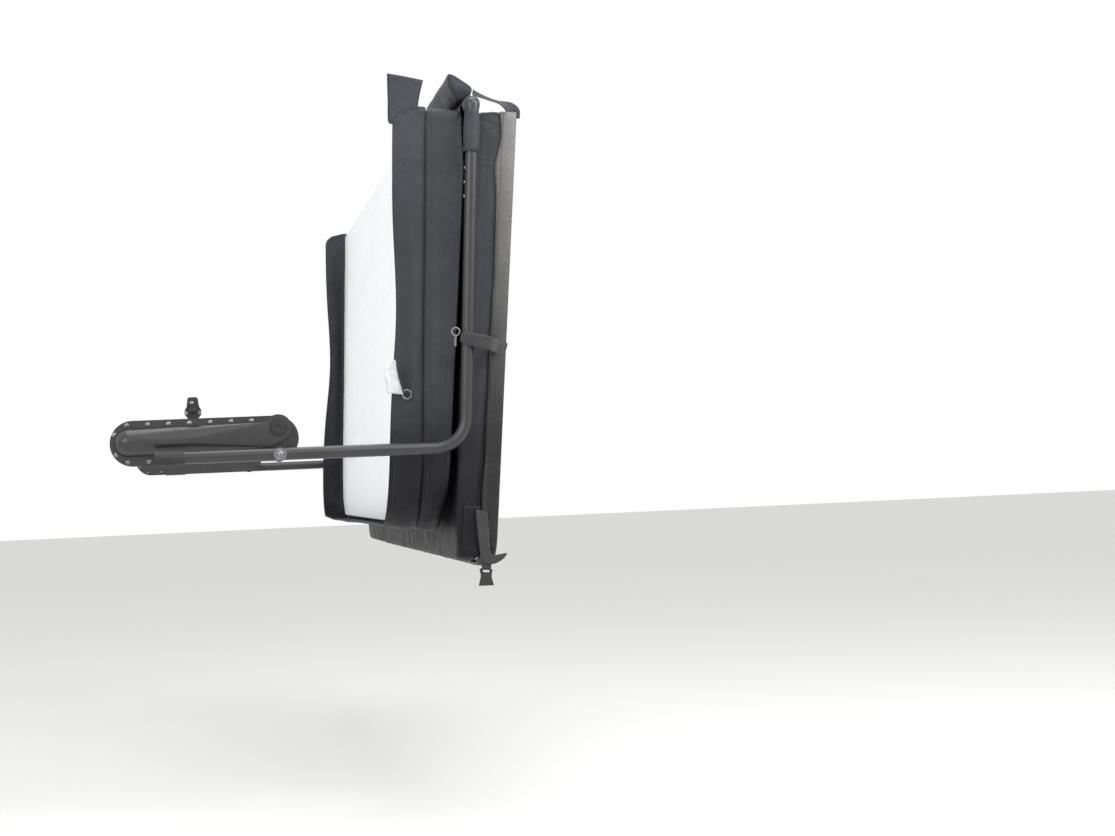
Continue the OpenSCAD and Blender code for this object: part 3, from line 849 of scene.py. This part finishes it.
def care_tag():
    """A crumpled blank tag that hangs on a ring at the rear skirt's edge."""
    rear = curve_through([(-0.117, -0.4650), (-0.128, -0.4770), (-0.135, -0.4890),
                          (-0.131, -0.5050), (-0.127, -0.5250)], 6)
    front = curve_through([(-0.116, -0.4650), (-0.113, -0.4800), (-0.110, -0.4950),
                           (-0.104, -0.5120), (-0.099, -0.5270)], 6)
    columns = 11
    points = []
    for i, (a, b) in enumerate(zip(rear, front)):
        for j in range(columns):
            u = j / (columns - 1)
            q = a * (1 - u) + b * u
            crumple = 0.0022 * wave(u * 4, i * 0.24, 0, 31) + 0.0012 * wave(u * 9, i * 0.6, 0, 32)
            roll = 0.0060 * u * u * ramp(i, 2, 20)
            points.append((q[0], -0.0060 + crumple - roll, q[1]))
    piece = mesh_piece("care_tag_fabric", cover(points), grid_faces(len(rear), columns), tag)
    thicken(piece, 0.0008)
    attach(piece, "rear_half")
    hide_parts("care_tag")
    hem = [(x + 0.001, -0.0115 - 0.0005 * k, z) for k, (x, z) in enumerate(front[::3])]
    edge = tube("care_tag_hem", cover(hem), 0.0013, vinyl, sides=8)
    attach(edge, "rear_half")


care_tag()

# ---- Floor, light and background ----

FLOOR_Z = -0.71


def plain(name, color, rough):
    """A matt finish with hardly any variation in its tone."""
    material = bpy.data.materials.new(name)
    material.use_nodes = True
    tree, add = node_kit(material)
    shader = tree.nodes["Principled BSDF"]
    shader.inputs["Roughness"].default_value = rough
    spots = add("ShaderNodeTexNoise", Scale=0.8, Detail=3.0)
    mixed = add("ShaderNodeMix", data_type="RGBA")
    mixed.inputs[A].default_value = (*color, 1)
    mixed.inputs[B].default_value = (*[c * 0.985 for c in color], 1)
    tree.links.new(spots.outputs["Fac"], mixed.inputs[0])
    tree.links.new(mixed.outputs[MIXED], shader.inputs["Base Color"])
    return material


bpy.ops.mesh.primitive_plane_add(size=60, location=(0, 0, FLOOR_Z))
floor = bpy.context.object
floor.name = "floor"
floor.data.materials.append(plain("floor_paint", (0.66, 0.66, 0.65), 0.7))

world = bpy.data.worlds.new("studio")
world.use_nodes = True
scene.world = world
world.node_tree.nodes["Background"].inputs["Color"].default_value = (1.0, 1.0, 1.0, 1)
world.node_tree.nodes["Background"].inputs["Strength"].default_value = 1.0
scene.view_settings.view_transform = "Standard"


def softbox(name, place, target, size, power):
    """A rectangular area light at place that faces target."""
    light = bpy.data.objects.new(name, bpy.data.lights.new(name, "AREA"))
    light.data.shape = "RECTANGLE"
    light.data.size, light.data.size_y = size
    light.data.energy = power
    light.location = place
    light.rotation_mode = "QUATERNION"
    light.rotation_quaternion = (Vector(target) - Vector(place)).to_track_quat("-Z", "Y")
    scene.collection.objects.link(light)


softbox("key", (1.6, -2.6, 2.6), (0.35, 0.0, 0.2), (2.0, 1.4), 60)
softbox("fill", (-2.4, -3.0, 1.6), (0.2, 0.2, 0.0), (2.4, 1.8), 44)
softbox("side", (2.6, -1.2, 1.5), (0.42, 0.0, 0.45), (0.9, 1.2), 36)
softbox("top", (0.4, 0.6, 3.2), (0.4, 0.8, 0.0), (2.4, 3.0), 45)
